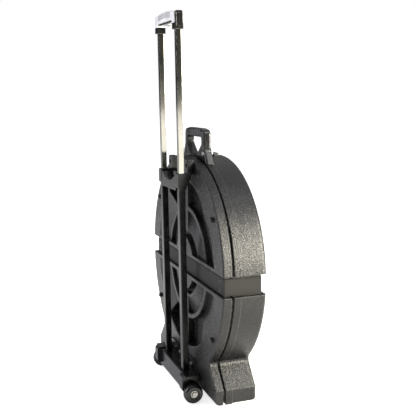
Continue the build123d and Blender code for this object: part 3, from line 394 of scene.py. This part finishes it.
LEAN = math.atan(0.0165)          # of the towing handle's tubes
TUBE_Y = BACK_Y - 0.02655         # their line at the floor


def on_grip(x, y, height):
    """A point in the leaning frame of the towing handle."""
    rear = y * math.cos(LEAN) - height * math.sin(LEAN)
    return (x, TUBE_Y + rear, y * math.sin(LEAN) + height * math.cos(LEAN))


def grip_pad():
    """Grey ribbed pad let into the rear face of the towing grip, under its arched top."""
    half_x, depth = 0.062, 0.0165
    across, along = 14, 248
    rise, half_span = 0.007, 0.0977
    arch = (half_span ** 2 + rise ** 2) / (2 * rise)
    crown, margin, face = 1.176, 0.0038, -0.0135
    rib_pitch, rib_height = 0.0068, 0.0009
    verts, faces = [], []
    for under in (False, True):
        for i in range(along + 1):
            x = half_x * (2 * i / along - 1)
            top = crown - arch + math.sqrt(arch ** 2 - x ** 2) - margin
            for j in range(across + 1):
                down = j / across
                rim = max(0.0, 1 - abs(2 * down - 1) ** 6) * max(0.0, 1 - abs(x / half_x) ** 40)
                rib = rib_height * (1 + math.cos(2 * math.pi * x / rib_pitch)) / 2
                lift = -0.002 if under else -0.0003 + rim * (0.0007 + rib)
                verts.append(on_grip(x, face - lift, top - depth * down))
    row, sheet = across + 1, (along + 1) * (across + 1)
    for i in range(along):
        for j in range(across):
            a, b, c, d = i * row + j, (i + 1) * row + j, (i + 1) * row + j + 1, i * row + j + 1
            faces += [(a, b, c, d), (sheet + d, sheet + c, sheet + b, sheet + a)]
    for i in range(along):
        a, b = i * row, (i + 1) * row
        faces.append((b, a, sheet + a, sheet + b))
        faces.append((a + across, b + across, sheet + b + across, sheet + a + across))
    for j in range(across):
        a, last = j, along * row + j
        faces += [(a, a + 1, sheet + a + 1, sheet + a), (last + 1, last, sheet + last, sheet + last + 1)]
    mesh = bpy.data.meshes.new("grip_pad")
    mesh.from_pydata(verts, [], faces)
    mesh.validate()
    smooth(mesh)
    new_object("grip_pad", mesh, "button_grey", "pull_handle")


WEB_W = 0.050
WEB_T = 0.0025
WEB_Z = 0.3975
CHANNEL_X = 0.318         # floor of the strap channel at the sides
CHANNEL_DEPTH = 0.012     # and in the rear face, from BACK_Y
CHANNEL_FRONT = 0.123     # and in the front face, from BACK_Y
PARTING = 0.0306          # where the strap's halves meet, from BACK_Y


def web_band(name, node, body, path):
    """Webbing along a path of (x, y) points, 50 mm wide, with woven ribs and rolled selvedges."""
    step = 0.0011
    line = []
    for (x0, y0), (x1, y1) in zip(path, path[1:]):
        count = max(1, round(math.hypot(x1 - x0, y1 - y0) / step))
        line += [(x0 + (x1 - x0) * i / count, y0 + (y1 - y0) * i / count) for i in range(count)]
    line.append(path[-1])
    across = 30
    flat_share = 0.94
    recess = 0.0002
    row_pitch, pick_pitch, relief = 0.0012, 0.0034, 0.0001
    half_w, half_t = WEB_W / 2, WEB_T / 2
    ring = []
    for i in range(across + 1):
        u = -1 + 2 * i / across
        edge = max(0.0, (abs(u) - flat_share) / (1 - flat_share))
        ring.append((u * half_w, half_t * math.sqrt(max(0.0, 1 - edge * edge)) - recess))
    ring += [(z, -t) for z, t in reversed(ring[1:-1])]
    verts, faces = [], []
    for k, (x, y) in enumerate(line):
        a = line[max(0, k - 1)]
        b = line[min(len(line) - 1, k + 1)]
        dx, dy = b[0] - a[0], b[1] - a[1]
        size = math.hypot(dx, dy)
        nx, ny = dy / size, -dx / size
        for j, (z, t) in enumerate(ring):
            row = relief * math.sin(z / row_pitch * math.pi)
            pick = relief * (1 if (k + int((z + half_w) / pick_pitch)) % 2 else -1)
            lift = math.copysign(row + pick, t) if t else 0.0
            verts.append((x + nx * (t + lift), y + ny * (t + lift), WEB_Z + z))
    n = len(ring)
    for k in range(len(line) - 1):
        for j in range(n):
            faces.append((k * n + j, k * n + (j + 1) % n, (k + 1) * n + (j + 1) % n, (k + 1) * n + j))
    faces.append(tuple(range(n)))
    faces.append(tuple((len(line) - 1) * n + j for j in reversed(range(n))))
    mesh = bpy.data.meshes.new(name)
    mesh.from_pydata(verts, [], faces)
    mesh.validate()
    smooth(mesh)
    piece = new_object(name, mesh, "webbing", body, node)


def around_corner(cx, cy, radius, start, end, count=6):
    """Points on an arc, angles in degrees."""
    turns = [math.radians(start + (end - start) * i / count) for i in range(count + 1)]
    return [(cx + radius * math.cos(a), cy + radius * math.sin(a)) for a in turns]


def straps():
    """The strap's rear and front halves, which meet at the parting line."""
    side = CHANNEL_X + WEB_T / 2
    split = BACK_Y + PARTING
    bend = 0.0035
    seam = 0.0002
    rear = BACK_Y + CHANNEL_DEPTH - WEB_T / 2
    left = around_corner(-side + bend, rear + bend, bend, 180, 270)
    right = around_corner(side - bend, rear + bend, bend, 270, 360)
    web_band("web_rear", "strap_rear", "case", [(-side, split)] + left + right + [(side, split)])
    front = BACK_Y + CHANNEL_FRONT + WEB_T / 2
    right = around_corner(side - bend, front - bend, bend, 0, 90)
    left = around_corner(-side + bend, front - bend, bend, 90, 180)
    ends = [(side, split + seam)], [(-side, split + seam)]
    web_band("web_front", "strap_front", "lid", ends[0] + right + left + ends[1])


straps()
carry_handle()
grip_pad()
pad("foam_back", "back_liner", "lining_foam", "case", 0.004, 3, 0.0003)
pad("foam_rim", "rim_liner", "lining_foam", "lid", 0.004, 3, 0.0003)
pad("foam_front", "front_liner", "lining_foam", "lid", 0.004, 3, 0.0003)
pad("felt_washers", "post_felts", "felt", "case", 0.001, 3, 0.0001)


# ---------------------------------------------------------------- studio
def studio():
    """Pale floor lit evenly, a dim room, and big soft lights."""
    look = Look("studio_paper")
    wide = look.noise(2, 3, 0.5)
    look.tint(wide, (0.87, 0.87, 0.87), (0.89, 0.89, 0.89))
    look.roughness(look.span(look.noise(300, 2, 0.5), 0.75, 0.9))
    look.bump(look.noise(300, 2, 0.5), 0.00005)
    look.bsdf.inputs["Specular IOR Level"].default_value = 0.1
    look.bsdf.inputs["Emission Color"].default_value = (1, 1, 1, 1)
    seen = look.node("ShaderNodeLightPath").outputs["Is Camera Ray"]
    look.link(look.span(seen, 0.1, 0.75), look.bsdf.inputs["Emission Strength"])
    mesh = bpy.data.meshes.new("floor")
    half = 30.0
    corners = [(-half, -half, 0), (half, -half, 0), (half, half, 0), (-half, half, 0)]
    mesh.from_pydata(corners, [], [(0, 1, 2, 3)])
    mesh.materials.append(look.mat)
    floor = bpy.data.objects.new("floor", mesh)
    bpy.context.scene.collection.objects.link(floor)

    world = bpy.data.worlds.new("studio")
    world.use_nodes = True
    tree = world.node_tree
    room = tree.nodes["Background"]
    room.inputs["Color"].default_value = (0.94, 0.97, 1.0, 1)
    upward = tree.nodes.new("ShaderNodeSeparateXYZ")
    around = tree.nodes.new("ShaderNodeTexCoord")
    tree.links.new(around.outputs["Generated"], upward.inputs["Vector"])
    glow = tree.nodes.new("ShaderNodeMapRange")
    glow.inputs["From Min"].default_value = 0.15
    glow.inputs["From Max"].default_value = 0.9
    glow.inputs["To Min"].default_value = 0.035
    glow.inputs["To Max"].default_value = 0.55
    tree.links.new(upward.outputs["Z"], glow.inputs["Value"])
    tree.links.new(glow.outputs["Result"], room.inputs["Strength"])
    paper = tree.nodes.new("ShaderNodeBackground")
    paper.inputs["Color"].default_value = (1, 1, 1, 1)
    paper.inputs["Strength"].default_value = 1.0
    rays = tree.nodes.new("ShaderNodeLightPath")
    mix = tree.nodes.new("ShaderNodeMixShader")
    tree.links.new(rays.outputs["Is Camera Ray"], mix.inputs["Fac"])
    tree.links.new(room.outputs["Background"], mix.inputs[1])
    tree.links.new(paper.outputs["Background"], mix.inputs[2])
    tree.links.new(mix.outputs["Shader"], tree.nodes["World Output"].inputs["Surface"])
    bpy.context.scene.world = world

    def softbox(name, place, aim, size, power, tint=(1, 1, 1)):
        data = bpy.data.lights.new(name, "AREA")
        data.shape = "RECTANGLE"
        data.size, data.size_y = size
        data.energy = power
        data.color = tint
        lamp = bpy.data.objects.new(name, data)
        lamp.location = place
        lamp.visible_camera = False
        lamp.rotation_euler = (Vector(aim) - Vector(place)).to_track_quat("-Z", "Y").to_euler()
        bpy.context.scene.collection.objects.link(lamp)

    softbox("key", (2.7, 2.7, 1.5), (0.3, 0, 0.5), (1.6, 1.5), 540, (1.0, 0.95, 0.82))
    softbox("low", (4.2, 1.45, 0.42), (0.1, 0, 0.42), (2.2, 0.8), 9, (1.0, 0.97, 0.9))
    softbox("high", (1.8, 1.6, 3.4), (0, 0, 0.4), (1.2, 1.2), 40)
    softbox("side", (-1.2, -3.2, 1.5), (0, 0, 0.5), (1.6, 2.0), 95, (0.92, 0.92, 1.0))
    sun = bpy.data.lights.new("ceiling", "SUN")
    sun.angle = math.radians(100)
    sun.energy = 0.35
    lamp = bpy.data.objects.new("ceiling", sun)
    lamp.rotation_euler = Vector((0.5, -0.4, -1.0)).to_track_quat("-Z", "Y").to_euler()
    bpy.context.scene.collection.objects.link(lamp)


def camera():
    data = bpy.data.cameras.new("camera")
    data.lens = 61.07
    data.sensor_width = 36.0
    data.clip_end = 60.0
    cam = bpy.data.objects.new("camera", data)
    cam.location = (2.0905, -0.7371, 0.9247)
    turn = math.radians(69.52)
    tip = math.radians(8.97)
    ahead = Vector((-math.sin(turn) * math.cos(tip), math.cos(turn) * math.cos(tip), -math.sin(tip)))
    cam.rotation_euler = ahead.to_track_quat("-Z", "Y").to_euler()
    bpy.context.scene.collection.objects.link(cam)
    bpy.context.scene.camera = cam


studio()
camera()
bpy.context.scene.view_settings.view_transform = "Standard"
